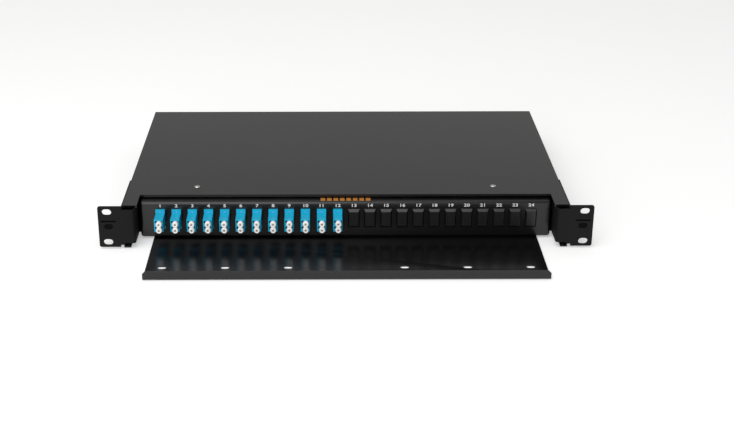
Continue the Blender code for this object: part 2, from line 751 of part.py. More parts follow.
def build_ports(drawer):
    """Adapters with their dust caps, then the blank plugs, one row from left to right."""
    socket, cap, blank = adapter(), dust_cap(), blank_plug()
    for number in range(1, PORTS + 1):
        x = port_x(number)
        face = (x, back(PANEL_FACE), PORT_Z)
        if number > ADAPTERS:
            place("blank_plug_%02d" % number, blank, "black_plastic", drawer, face)
            continue
        place("adapter_%02d" % number, socket, "aqua_plastic", drawer, face)
        mouth = (x + SOCKET_X, back(PANEL_FACE - BODY_FORWARD) - GAP, PORT_Z - CAP_DROP)
        place("dust_cap_%02d" % number, cap, "white_plastic", drawer, mouth)


def main():
    """Model the whole box."""
    clear_scene()
    case = group("case", (0.0, 0.0, 0.0))
    drawer = group("drawer", (0.0, back(PANEL_FACE), 0.0))
    build_case(case)
    build_drawer(drawer)
    build_ports(drawer)


main()
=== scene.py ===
"""Sliding fibre termination box: fine surfaces, finishes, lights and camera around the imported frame.

The frame gives every size and place. Each sub-assembly below is a class that makes its pieces, gives them
their finish and says which body they ride on. Metres, +Z up, the front of the box towards -Y.
"""

import logging
import math
from dataclasses import dataclass
from enum import Enum
from typing import Any, Callable, Optional, Sequence, Union

import bmesh
import bpy
from mathutils import Matrix, Vector


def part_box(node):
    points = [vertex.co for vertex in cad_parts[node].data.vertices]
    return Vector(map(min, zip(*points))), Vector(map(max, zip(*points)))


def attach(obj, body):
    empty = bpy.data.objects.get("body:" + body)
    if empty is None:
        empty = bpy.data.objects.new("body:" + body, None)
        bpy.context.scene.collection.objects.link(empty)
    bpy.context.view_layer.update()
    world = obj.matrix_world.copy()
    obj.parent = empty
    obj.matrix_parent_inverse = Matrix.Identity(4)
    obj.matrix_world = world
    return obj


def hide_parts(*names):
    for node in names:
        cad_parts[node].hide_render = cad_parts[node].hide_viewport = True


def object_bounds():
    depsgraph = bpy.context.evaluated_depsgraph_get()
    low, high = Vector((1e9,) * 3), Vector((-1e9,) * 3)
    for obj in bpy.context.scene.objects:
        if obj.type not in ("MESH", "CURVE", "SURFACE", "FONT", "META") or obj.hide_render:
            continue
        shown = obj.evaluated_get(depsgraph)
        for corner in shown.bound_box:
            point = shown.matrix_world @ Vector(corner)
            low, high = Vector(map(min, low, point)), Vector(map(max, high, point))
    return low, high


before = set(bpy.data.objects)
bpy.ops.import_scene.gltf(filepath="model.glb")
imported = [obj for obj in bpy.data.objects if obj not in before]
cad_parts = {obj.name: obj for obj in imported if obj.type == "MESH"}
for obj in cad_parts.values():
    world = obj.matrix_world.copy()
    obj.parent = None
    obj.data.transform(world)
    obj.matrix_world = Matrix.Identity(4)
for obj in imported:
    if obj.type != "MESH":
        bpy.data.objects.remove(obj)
CAD_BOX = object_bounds()
LOG = logging.getLogger("termination_box")

EASE = 0.0003  # Usual round on an edge
ROUND_STEPS = 32
MIX_INPUTS = (0, 6, 7)  # Factor and both colours of a Mix node that mixes colours
MIX_RESULT = 2
TO_FRONT = Matrix.Rotation(math.radians(90), 4, "X")  # Turns +Z towards the viewer
TO_REAR = Matrix.Rotation(math.radians(-90), 4, "X")

Number = Union[float, "Signal"]
Mesh = bpy.types.Mesh
Flat = tuple[float, float]
Point = tuple[float, float, float]
Colour = tuple[float, float, float]


class Body(Enum):
    """The bodies that pieces ride on, apart from the dust caps' own."""

    CASE = "case"
    DRAWER = "drawer"


class Side(Enum):
    """Left or right as seen from the front."""

    LEFT = -1
    RIGHT = 1

    @property
    def word(self) -> str:
        """The side's name in lower case, as node names spell it."""
        return self.name.lower()


def operator(operation: str, swapped: bool = False) -> Callable[["Signal", Number], "Signal"]:
    """A Python operator that adds one Math node.

    Args:
        operation: The Math node's operation.
        swapped: Whether the Signal comes second.

    Returns:
        The method for it.
    """
    def apply(self: "Signal", other: Number) -> "Signal":
        """Add the node."""
        pair = (other, self) if swapped else (self, other)
        return self.craft.node("ShaderNodeMath", {"operation": operation}, {0: pair[0], 1: pair[1]})

    return apply


class Signal:
    """One socket of a node tree, which Python's operators turn into Math nodes."""

    def __init__(self, craft: "Craft", socket: bpy.types.NodeSocket) -> None:
        """Keep the socket and the tree it belongs to."""
        self.craft = craft
        self.socket = socket

    __add__ = __radd__ = operator("ADD")
    __mul__ = __rmul__ = operator("MULTIPLY")
    __sub__ = operator("SUBTRACT")
    __rsub__ = operator("SUBTRACT", swapped=True)
    __truediv__ = operator("DIVIDE")
    __gt__ = operator("GREATER_THAN")


class Craft:
    """Builds nodes in one shader or geometry tree."""

    def __init__(self, tree: bpy.types.NodeTree) -> None:
        """Work on this tree."""
        self.tree = tree

    def node(
        self, kind: str, settings: Optional[dict[str, Any]] = None,
        values: Optional[dict[Union[int, str], Any]] = None, output: Union[int, str] = 0,
    ) -> Signal:
        """Add one node.

        Args:
            kind: The node's type.
            settings: Properties to set first.
            values: Input socket to a value or a Signal.
            output: The output that is wanted.

        Returns:
            The chosen output.
        """
        made = self.tree.nodes.new(kind)
        for key, value in (settings or {}).items():
            setattr(made, key, value)
        for key, value in (values or {}).items():
            self.feed(made.inputs[key], value)
        return Signal(self, made.outputs[output])

    def feed(self, socket: bpy.types.NodeSocket, value: Any) -> None:
        """Link a Signal to a socket, or a list of Signals to a joining socket, or set a plain value."""
        if isinstance(value, Signal):
            self.tree.links.new(value.socket, socket)
        elif isinstance(value, list):
            for part in value:
                self.tree.links.new(part.socket, socket)
        else:
            socket.default_value = value

    def blend(self, factor: Signal, low: Union[Colour, Signal], high: Union[Colour, Signal]) -> Signal:
        """A colour between two colours.

        Args:
            factor: 0 for the first colour, 1 for the second.
            low: The first colour.
            high: The second colour.

        Returns:
            The mixed colour.
        """
        opaque = [(*tone, 1.0) if isinstance(tone, tuple) else tone for tone in (low, high)]
        values = dict(zip(MIX_INPUTS, (factor, *opaque)))
        return self.node("ShaderNodeMix", {"data_type": "RGBA"}, values, output=MIX_RESULT)

    def vector(self, **parts: Number) -> Signal:
        """A vector of its X, Y and Z; a part that is left out is 0."""
        return self.node("ShaderNodeCombineXYZ", values=parts)

    def shifted(self, geometry: Signal, **change: Union[Signal, Point]) -> Signal:
        """The geometry after a Translation or a Rotation."""
        return self.node("GeometryNodeTransform", values={"Geometry": geometry, **change})


class SurfaceCraft(Craft):
    """A shader tree with the textures that the finishes share, all on Object coordinates."""

    def noise(self, size: float, detail: float = 2.0, stretch: Point = (1.0, 1.0, 1.0)) -> Signal:
        """Noise with a grain of about one size.

        Args:
            size: Grain in metres.
            detail: Octaves.
            stretch: How many times longer the grain is along each axis.

        Returns:
            The noise, about 0.5 on average.
        """
        place = self.node("ShaderNodeTexCoord", output="Object")
        scale = tuple(1.0 / along for along in stretch)
        place = self.node("ShaderNodeMapping", values={"Vector": place, "Scale": scale})
        values = {"Vector": place, "Scale": 1.0 / size, "Detail": detail, "Roughness": 0.55}
        return self.node("ShaderNodeTexNoise", values=values, output="Fac")

    def cells(self, size: float) -> Signal:
        """Random cell tones, one for each grain of this size in metres."""
        place = self.node("ShaderNodeTexCoord", output="Object")
        values = {"Vector": place, "Scale": 1.0 / size}
        colour = self.node("ShaderNodeTexVoronoi", values=values, output="Color")
        return self.node("ShaderNodeSeparateColor", values={0: colour})

    def bump(self, height: Signal, depth: float, strength: float) -> Signal:
        """A normal bent by a height.

        Args:
            height: The relief, 0 to 1.
            depth: What a height of 1 stands for, in metres.
            strength: How much of it shows.

        Returns:
            The normal.
        """
        return self.node("ShaderNodeBump", values={"Height": height, "Distance": depth, "Strength": strength})


@dataclass(frozen=True)
class Finish:
    """A finish, which becomes one material however many pieces take it."""

    name: str
    slot: str
    colour: Colour
    roughness: float

    def material(self) -> bpy.types.Material:
        """The finish as a material, made the first time it is asked for."""
        made = bpy.data.materials.get(self.name)
        if made is None:
            made = bpy.data.materials.new(self.name)
            made.use_nodes = True
            made.diffuse_color = (*self.colour, 1.0)
            self.dress(SurfaceCraft(made.node_tree), made.node_tree.nodes["Principled BSDF"])
        return made

    def dress(self, craft: SurfaceCraft, shader: bpy.types.ShaderNode) -> None:
        """Give the shader its colour, roughness and relief."""
        raise NotImplementedError


@dataclass(frozen=True)
class PowderCoat(Finish):
    """Powder paint on steel: fine orange peel, slow changes of gloss, and a little dust."""

    specular: float = 0.5
    peel_size: float = 0.0011
    peel_depth: float = 0.00002

    def dress(self, craft: SurfaceCraft, shader: bpy.types.ShaderNode) -> None:
        """Set the coat on the shader."""
        peel = craft.noise(self.peel_size, detail=3.0)
        slow = craft.noise(0.075)
        dust = craft.noise(0.0016, detail=1.0) > 0.76
        light = tuple(1.35 * part for part in self.colour)
        dusty = tuple(4.0 * part + 0.01 for part in self.colour)
        tone = craft.blend(dust * 0.5, craft.blend(slow, self.colour, light), dusty)
        craft.feed(shader.inputs["Base Color"], tone)
        craft.feed(shader.inputs["Roughness"], self.roughness + (slow - 0.5) * 0.08 + (peel - 0.5) * 0.06)
        craft.feed(shader.inputs["Normal"], craft.bump(peel, self.peel_depth, 0.7))
        shader.inputs["Specular IOR Level"].default_value = self.specular


@dataclass(frozen=True)
class MouldedPlastic(Finish):
    """Moulded plastic: a faint spark-eroded grain and slow flow marks."""

    grain_depth: float = 0.000015
    flow: float = 0.12

    def dress(self, craft: SurfaceCraft, shader: bpy.types.ShaderNode) -> None:
        """Set the plastic on the shader."""
        grain = craft.noise(0.0004, detail=2.0)
        flow = craft.noise(0.006, stretch=(1.0, 1.0, 2.5))
        deep = tuple(part * (1.0 - self.flow) for part in self.colour)
        high = tuple(min(1.0, part * (1.0 + self.flow)) for part in self.colour)
        craft.feed(shader.inputs["Base Color"], craft.blend(flow, deep, high))
        craft.feed(shader.inputs["Roughness"], self.roughness + (grain - 0.5) * 0.12 + (flow - 0.5) * 0.06)
        craft.feed(shader.inputs["Normal"], craft.bump(grain, self.grain_depth, 0.6))


@dataclass(frozen=True)
class ZincPlate(Finish):
    """Zinc-plated sheet: small spangles, rolling streaks and a bluish cast."""

    cast: Colour = (0.50, 0.53, 0.58)

    def dress(self, craft: SurfaceCraft, shader: bpy.types.ShaderNode) -> None:
        """Set the plating on the shader."""
        spangle = craft.cells(0.004)
        streak = craft.noise(0.0006, detail=3.0, stretch=(1.0, 40.0, 1.0))
        tone = craft.blend(spangle * 0.6 + streak * 0.4, self.colour, self.cast)
        gloss = self.roughness + (spangle - 0.5) * 0.10 + (streak - 0.5) * 0.12
        craft.feed(shader.inputs["Base Color"], tone)
        craft.feed(shader.inputs["Roughness"], gloss)
        craft.feed(shader.inputs["Normal"], craft.bump(streak, 0.00001, 0.5))
        shader.inputs["Metallic"].default_value = 1.0


@dataclass(frozen=True)
class TurnedSteel(Finish):
    """Bright screw steel with light tool marks."""

    def dress(self, craft: SurfaceCraft, shader: bpy.types.ShaderNode) -> None:
        """Set the steel on the shader."""
        marks = craft.noise(0.00035, detail=2.0, stretch=(4.0, 1.0, 1.0))
        worn = tuple(part * 0.82 for part in self.colour)
        craft.feed(shader.inputs["Base Color"], craft.blend(marks, worn, self.colour))
        craft.feed(shader.inputs["Roughness"], self.roughness + (marks - 0.5) * 0.20)
        craft.feed(shader.inputs["Normal"], craft.bump(marks, 0.00001, 0.5))
        shader.inputs["Metallic"].default_value = 1.0


@dataclass(frozen=True)
class ScreenInk(Finish):
    """Screen-printed ink: nearly even, a little thin in places."""

    def dress(self, craft: SurfaceCraft, shader: bpy.types.ShaderNode) -> None:
        """Set the ink on the shader."""
        thin = craft.noise(0.0005, detail=2.0)
        faded = tuple(part * 0.86 for part in self.colour)
        craft.feed(shader.inputs["Base Color"], craft.blend(thin, faded, self.colour))
        craft.feed(shader.inputs["Roughness"], self.roughness + (thin - 0.5) * 0.15)


SATIN_COAT = PowderCoat("satin_black_coat", "black_powder_coat", (0.0030, 0.0027, 0.0031), 0.21)
MATT_COAT = PowderCoat(
    "matt_black_coat", "black_powder_coat", (0.0080, 0.0078, 0.0080), 0.62, specular=0.10, peel_depth=0.00004,
)
# Near-black coat for the faces of the pressed mark: painted shade in its recess.
MARK_PAINTED_SHADE = PowderCoat(
    "pressed_mark_painted_shade", "black_powder_coat", (0.0022, 0.0022, 0.0022), 0.70,
    specular=0.05, peel_depth=0.00004,
)
ZINC = ZincPlate("zinc_plate", "zinc_steel", (0.62, 0.62, 0.60), 0.34)
SCREW_STEEL = TurnedSteel("screw_steel", "steel_screw", (0.72, 0.70, 0.68), 0.30)
BLUE_PLASTIC = MouldedPlastic("blue_adapter_plastic", "aqua_plastic", (0.004, 0.42, 0.66), 0.26, flow=0.08)
CAP_PLASTIC = MouldedPlastic("white_cap_plastic", "white_plastic", (0.93, 0.92, 0.91), 0.42, flow=0.03)
# Dark tan for the faces inside the caps' wells: painted shade in the wells.
CAP_WELL_PAINTED_SHADE = MouldedPlastic("cap_well_plastic", "white_plastic", (0.42, 0.30, 0.20), 0.50, flow=0.06)
BLANK_PLASTIC = MouldedPlastic("black_blank_plastic", "black_plastic", (0.0055, 0.0052, 0.0054), 0.30)
GLAND_PLASTIC = MouldedPlastic(
    "black_gland_plastic", "black_plastic", (0.020, 0.020, 0.021), 0.45, grain_depth=0.00003,
)
TRAY_PLASTIC = MouldedPlastic("grey_tray_plastic", "grey_plastic", (0.50, 0.51, 0.53), 0.45, flow=0.05)
# Dark blue for the faces inside the adapters' sockets: painted shade in the deep sockets.
SOCKET_PAINTED_SHADE = MouldedPlastic("socket_painted_shade", "aqua_plastic", (0.002, 0.035, 0.080), 0.50, flow=0.05)
RIVET_STEEL = ScreenInk("rivet_nickel", "steel_screw", (0.62, 0.60, 0.55), 0.45)
WHITE_INK = ScreenInk("white_number_ink", "white_print", (0.80, 0.80, 0.80), 0.50)
ORANGE_INK = ScreenInk("orange_mark_ink", "orange_print", (0.52, 0.20, 0.03), 0.45)


def corners(node: str) -> tuple[Vector, Vector]:
    """Lowest and highest corner of a frame node at rest."""
    low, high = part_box(node)
    return Vector(low), Vector(high)


def centre(node: str) -> Vector:
    """Middle of a frame node's box at rest."""
    low, high = corners(node)
    return (low + high) / 2


def finished(bm: bmesh.types.BMesh, name: str) -> Mesh:
    """Close off a bmesh with its faces pointing out.

    Args:
        bm: The shape, which is freed.
        name: The mesh's name.

    Returns:
        The mesh.
    """
    bmesh.ops.recalc_face_normals(bm, faces=bm.faces)
    made = bpy.data.meshes.new(name)
    bm.to_mesh(made)
    bm.free()
    if made.has_custom_normals:
        made.attributes.remove(made.attributes["custom_normal"])
    return made


def merged_copy(node: str) -> Mesh:
    """A frame node's mesh with its doubles merged and its flat faces joined.

    Args:
        node: The frame node.

    Returns:
        A new mesh in the same place.
    """
    bm = bmesh.new()
    bm.from_mesh(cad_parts[node].data)
    bmesh.ops.remove_doubles(bm, verts=bm.verts, dist=2e-6)
    bmesh.ops.dissolve_limit(
        bm, angle_limit=math.radians(0.6), verts=bm.verts, edges=bm.edges, use_dissolve_boundaries=False,
    )
    return finished(bm, node + "_merged")


def block(low: Sequence[float], high: Sequence[float]) -> Mesh:
    """A box between two corners, as a tool or a blank to work on."""
    bm = bmesh.new()
    bmesh.ops.create_cube(bm, size=1.0)
    size = [top - bottom for bottom, top in zip(low, high)]
    middle = [(top + bottom) / 2 for bottom, top in zip(low, high)]
    bmesh.ops.scale(bm, vec=size, verts=bm.verts)
    bmesh.ops.translate(bm, vec=middle, verts=bm.verts)
    return finished(bm, "block")


def joined(meshes: Sequence[Mesh]) -> Mesh:
    """Several meshes in one, not fused."""
    bm = bmesh.new()
    for mesh in meshes:
        bm.from_mesh(mesh)
    made = bpy.data.meshes.new("joined")
    bm.to_mesh(made)
    bm.free()
    return made


def prism(outline: Sequence[Flat], start: float, end: float) -> Mesh:
    """An (x, z) outline pushed along Y.

    Args:
        outline: Points in order.
        start: First Y.
        end: Last Y.

    Returns:
        The solid.
    """
    bm = bmesh.new()
    first = [bm.verts.new((x, start, z)) for x, z in outline]
    last = [bm.verts.new((x, end, z)) for x, z in outline]
    bm.faces.new(first)
    bm.faces.new(last)
    for index, corner in enumerate(first):
        following = (index + 1) % len(first)
        bm.faces.new((corner, first[following], last[following], last[index]))
    return finished(bm, "prism")


def arc(middle: Flat, radius: float, start: float, end: float, steps: int) -> list[Flat]:
    """Points on an arc, in degrees, both ends included."""
    angles = [math.radians(start + (end - start) * index / steps) for index in range(steps + 1)]
    return [(middle[0] + radius * math.cos(angle), middle[1] + radius * math.sin(angle)) for angle in angles]


def turned(profile: Sequence[Flat], segments: int = 32, ring: bool = False) -> Mesh:
    """A profile of (radius, height) turned about Z.

    Args:
        profile: Points from the bottom up; the first and last lie on the axis unless it is a ring.
        segments: Steps round the axis.
        ring: Whether the profile is a closed loop.

    Returns:
        The solid.
    """
    bm = bmesh.new()
    verts = [bm.verts.new((radius, 0.0, height)) for radius, height in profile]
    edges = [bm.edges.new(pair) for pair in zip(verts, verts[1:])]
    if ring:
        edges.append(bm.edges.new((verts[-1], verts[0])))
    bmesh.ops.spin(bm, geom=verts + edges, cent=(0, 0, 0), axis=(0, 0, 1), angle=math.tau, steps=segments)
    bmesh.ops.remove_doubles(bm, verts=bm.verts, dist=1e-6)
    return finished(bm, "turned")


def moved(mesh: Mesh, offset: Sequence[float] = (0, 0, 0), turn: Optional[Matrix] = None) -> Mesh:
    """A copy of the mesh, turned and then shifted."""
    copy = mesh.copy()
    if turn is not None:
        copy.transform(turn)
    copy.transform(Matrix.Translation(offset))
    return copy


def linked(name: str, data: Any) -> bpy.types.Object:
    """A new object of this data, in the scene."""
    made = bpy.data.objects.new(name, data)
    bpy.context.scene.collection.objects.link(made)
    return made


def smoothed(mesh: Mesh, sharp: float) -> Mesh:
    """The mesh itself, shaded smooth but for edges over this angle in degrees."""
    mesh.shade_smooth()
    mesh.set_sharp_from_angle(angle=math.radians(sharp))
    return mesh


def second_finish(mesh: Mesh, inside: Callable[[Vector], bool]) -> Mesh:
    """The mesh itself, with the second finish on faces whose centres pass the test."""
    for face in mesh.polygons:
        if inside(face.center):
            face.material_index = 1
    return mesh


def worked(mesh: Mesh, steps: Callable[[bpy.types.Object], None]) -> Mesh:
    """The mesh after modifiers.

    Args:
        mesh: The shape to work on.
        steps: Adds the modifiers to the object it is given.

    Returns:
        The new mesh.
    """
    bench = linked("bench", mesh)
    steps(bench)
    graph = bpy.context.evaluated_depsgraph_get()
    made = bpy.data.meshes.new_from_object(
        bench.evaluated_get(graph), preserve_all_data_layers=True, depsgraph=graph,
    )
    bpy.data.objects.remove(bench, do_unlink=True)
    return made


def carved(mesh: Mesh, tool: Mesh, operation: str = "DIFFERENCE") -> Mesh:
    """The exact Boolean of a mesh and a tool."""
    cutter = linked("cutter", tool)

    def steps(bench: bpy.types.Object) -> None:
        """Add the Boolean."""
        step = bench.modifiers.new("carve", "BOOLEAN")
        step.operation = operation
        step.solver = "EXACT"
        step.object = cutter

    made = worked(mesh, steps)
    bpy.data.objects.remove(cutter, do_unlink=True)
    return made


def eased(mesh: Mesh, width: float = EASE, sharp: float = 32.0) -> Mesh:
    """The mesh with its sharp edges rounded and its shading smoothed.

    Args:
        mesh: The shape.
        width: Width of the round.
        sharp: Edges over this angle, in degrees, are rounded.

    Returns:
        The new mesh.
    """
    def steps(bench: bpy.types.Object) -> None:
        """Add the bevel."""
        step = bench.modifiers.new("ease", "BEVEL")
        step.width = width
        step.segments = 2
        step.limit_method = "ANGLE"
        step.angle_limit = math.radians(sharp)
        step.miter_outer = "MITER_ARC"
        step.harden_normals = True

    mesh.shade_smooth()
    return worked(mesh, steps)


def publish(
    name: str, mesh: Mesh, finishes: Sequence[Finish], body: Union[Body, str], nodes: Sequence[str] = (),
) -> None:
    """Make a finished piece of a mesh, with its finishes as its materials.

    Args:
        name: The piece's name.
        mesh: Its shape, in place.
        finishes: Its finish, or one for each material index.
        body: The body it rides on.
        nodes: The frame nodes it stands for.
    """
    mesh.name = name
    chosen = [face.material_index for face in mesh.polygons]
    mesh.materials.clear()
    for finish in finishes:
        mesh.materials.append(finish.material())
    if len(finishes) > 1:
        mesh.polygons.foreach_set("material_index", chosen)
    piece = linked(name, mesh)
    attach(piece, body.value if isinstance(body, Body) else body)
    if nodes:
        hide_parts(*nodes)
    LOG.info("%s: %d faces", name, len(mesh.polygons))


def publish_copy(node: str, suffix: str, finish: Finish, body: Body) -> None:
    """Publish a frame node's own shape with its edges eased."""
    publish(node + suffix, eased(merged_copy(node)), [finish], body, [node])


class GrownTree:
    """A Geometry Nodes tree with named inputs, run once on a mesh to give a plain mesh."""

    def __init__(self, name: str, inputs: dict[str, Any]) -> None:
        """Open the tree.

        Args:
            name: The tree's name.
            inputs: Input name to its value; a material or a number.
        """
        self.tree = bpy.data.node_groups.new(name, "GeometryNodeTree")
        face = self.tree.interface
        face.new_socket("Geometry", in_out="OUTPUT", socket_type="NodeSocketGeometry")
        face.new_socket("Geometry", in_out="INPUT", socket_type="NodeSocketGeometry")
        self.values = {}
        for key, value in inputs.items():
            kind = {int: "NodeSocketInt", float: "NodeSocketFloat"}.get(type(value), "NodeSocketMaterial")
            self.values[face.new_socket(key, in_out="INPUT", socket_type=kind).identifier] = value
        self.craft = Craft(self.tree)
        self.entry = self.tree.nodes.new("NodeGroupInput")

    def __getitem__(self, key: str) -> Signal:
        """An input of the tree by name."""
        return Signal(self.craft, self.entry.outputs[key])

    def end(self, geometry: Signal) -> None:
        """Realize the instances, set the material and close the tree."""
        real = self.craft.node("GeometryNodeRealizeInstances", values={0: geometry})
        clad = self.craft.node("GeometryNodeSetMaterial", values={0: real, "Material": self["Material"]})
        exit_node = self.tree.nodes.new("NodeGroupOutput")
        self.tree.links.new(clad.socket, exit_node.inputs[0])

    def spread(self, points: Signal, instance: Signal, **more: Signal) -> Signal:
        """The instance at each of the points."""
        values = {"Points": points, "Instance": instance, **more}
        return self.craft.node("GeometryNodeInstanceOnPoints", values=values)

    def grow(self, seats: Mesh) -> Mesh:
        """Run the tree on a mesh of seats and give the result as a plain mesh."""
        def steps(bench: bpy.types.Object) -> None:
            """Add the modifier and its inputs."""
            step = bench.modifiers.new("grow", "NODES")
            step.node_group = self.tree
            for identifier, value in self.values.items():
                step[identifier] = value

        return worked(seats, steps)


def seats_at(points: Sequence[Sequence[float]]) -> Mesh:
    """A mesh of loose points for things to be set on."""
    made = bpy.data.meshes.new("seats")
    made.from_pydata([tuple(point) for point in points], [], [])
    return made


@dataclass
class ScrewSet:
    """Round-head cross screws, grown at their seats along one axis."""

    head_radius: float = 0.0026
    head_height: float = 0.0013
    recess_reach: float = 0.0014
    recess_width: float = 0.0005
    recess_lift: float = 1.05

    def grow(self, points: Sequence[Sequence[float]], turn: Point) -> Mesh:
        """Screw heads at these points.

        Args:
            points: The seats.
            turn: Rotation of a head that stands along +Z, in radians.

        Returns:
            All heads in one mesh.
        """
        tree = GrownTree("screw_heads", {
            "Head Radius": self.head_radius, "Head Height": self.head_height,
            "Recess Reach": self.recess_reach, "Recess Width": self.recess_width,
            "Material": SCREW_STEEL.material(),
        })
        craft = tree.craft
        radius, height = tree["Head Radius"], tree["Head Height"]
        ball_radius = (radius * radius + height * height) / (height * 2.0)
        steps = ROUND_STEPS
        ball = craft.node("GeometryNodeMeshUVSphere", values={
            "Segments": steps, "Rings": steps, "Radius": ball_radius,
        })
        ball = craft.shifted(ball, Translation=craft.vector(Z=height - ball_radius))
        post = craft.node("GeometryNodeMeshCylinder", values={
            "Vertices": steps, "Radius": radius, "Depth": height * 2.0,
        })
        post = craft.shifted(post, Translation=craft.vector(Z=height))
        head = craft.node("GeometryNodeMeshBoolean", {"operation": "INTERSECT"}, {"Mesh 2": [ball, post]})
        recess = []
        for along, across in (("X", "Y"), ("Y", "X")):
            reach, width = tree["Recess Reach"] * 2.0, tree["Recess Width"]
            size = craft.vector(**{along: reach, across: width, "Z": height})
            bar = craft.node("GeometryNodeMeshCube", values={"Size": size})
            recess.append(craft.shifted(bar, Translation=craft.vector(Z=height * self.recess_lift)))
        halves = {"Mesh 1": head, "Mesh 2": recess}
        head = craft.node("GeometryNodeMeshBoolean", {"operation": "DIFFERENCE"}, halves)
        tree.end(tree.spread(tree["Geometry"], craft.shifted(head, Rotation=turn)))
        return smoothed(tree.grow(seats_at(points)), 35)


@dataclass
class CaseShell:
    """The folded case, its cover, brace, rails and rack ears, with the screws that hold them."""

    ear_edge: float = 0.0004
    flange_face: float = 0.0018
    side_screw_rows: Flat = (0.0105, 0.0325)
    side_screw_setback: Flat = (0.0200, 0.0560)
    mark_x: float = 0.2313
    bar_size: Flat = (0.0150, 0.0016)
    bar_z: float = 0.0293
    bar_depth: float = 0.0010
    pad_size: Flat = (0.0090, 0.0056)
    pad_z: float = 0.0238
    pad_depth: float = 0.0003
    mark_skin: float = 0.00012
    mark_margin: float = 0.0002
    washer_inner: float = 0.0027
    washer_outer: float = 0.0040
    washer_height: float = 0.0003
    washer_chamfer: float = 0.0002

    def build(self) -> None:
        """Make every piece that stays with the rack."""
        for node in ("case_base", "top_cover"):
            publish_copy(node, "_sheet", SATIN_COAT, Body.CASE)
        publish_copy("cross_brace", "_strip", ZINC, Body.CASE)
        for side in Side:
            publish_copy("guide_rail_" + side.word, "_channel", MATT_COAT, Body.CASE)
            self.build_ear(side)
        self.build_cover_screws()

    def build_ear(self, side: Side) -> None:
        """One rack ear with its pressed mark, and the screws of its side flange."""
        node = "rack_ear_" + side.word
        front = corners(node)[0].y
        mesh = eased(carved(merged_copy(node), self.ear_mark(front, side)), self.ear_edge)
        # Shade is painted into the pressed mark with a near-black second finish.
        self.shade_mark(mesh, front, side)
        publish(node + "_bracket", mesh, [MATT_COAT, MARK_PAINTED_SHADE], Body.CASE, [node])
        wall = side.value * (corners("case_base")[1].x + self.flange_face)
        rows, setbacks = self.side_screw_rows, self.side_screw_setback
        seats = [(wall, front + setback, row) for setback in setbacks for row in rows]
        heads = ScrewSet().grow(seats, (0.0, side.value * math.radians(90), 0.0))
        publish("ear_screws_" + side.word, heads, [SCREW_STEEL], Body.CASE)

    def ear_mark(self, face: float, side: Side) -> Mesh:
        """Tool for the pressed bar and the shallow pad between an ear's slots.

        Args:
            face: Y of the ear's front.
            side: Which ear.

        Returns:
            The tool.
        """
        tools = []
        for (width, height), z, depth in (
            (self.bar_size, self.bar_z, self.bar_depth), (self.pad_size, self.pad_z, self.pad_depth),
        ):
            x = side.value * self.mark_x
            outline = arc((x + (width - height) / 2, z), height / 2, -90, 90, 6)
            outline += arc((x - (width - height) / 2, z), height / 2, 90, 270, 6)
            tools.append(prism(outline, face - depth, face + depth))
        return joined(tools)

    def shade_mark(self, mesh: Mesh, face: float, side: Side) -> None:
        """Give the pressed mark's own faces the second finish, a near-black coat that paints shade into the
        recess.

        Args:
            mesh: The ear with its mark cut in.
            face: Y of the ear's front.
            side: Which ear.
        """
        half = self.bar_size[0] / 2
        low_z = self.pad_z - self.pad_size[1] / 2 - self.mark_margin
        high_z = low_z + self.bar_z + self.bar_size[1] - (self.pad_z - self.pad_size[1])

        def in_mark(spot: Vector) -> bool:
            """Whether a face's centre lies in the mark, where shade is painted."""
            near = abs(spot.x - side.value * self.mark_x) < half and low_z < spot.z < high_z
            return near and self.mark_skin < spot.y - face < self.bar_depth + self.mark_margin

        second_finish(mesh, in_mark)

    def build_cover_screws(self) -> None:
        """The two screws in the cover's front corners, on their black washers."""
        nodes = ["cover_screw_" + side.word for side in Side]
        top = corners("top_cover")[1].z
        inner, outer, height = self.washer_inner, self.washer_outer, self.washer_height
        profile = [(inner, 0.0), (outer, 0.0), (outer - self.washer_chamfer, height), (inner, height)]
        seats = []
        rims = []
        for node in nodes:
            middle = centre(node)
            seats.append((middle.x, middle.y, top + 0.0002))
            rims.append(moved(turned(profile, 40, True), (middle.x, middle.y, top)))
        screws = ScrewSet(head_radius=0.0031, head_height=0.0014, recess_reach=0.0017)
        heads = screws.grow(seats, (0.0, 0.0, 0.6))
        publish("cover_screw_heads", heads, [SCREW_STEEL], Body.CASE, nodes)
        publish("cover_screw_washers", joined(rims), [GLAND_PLASTIC], Body.CASE)


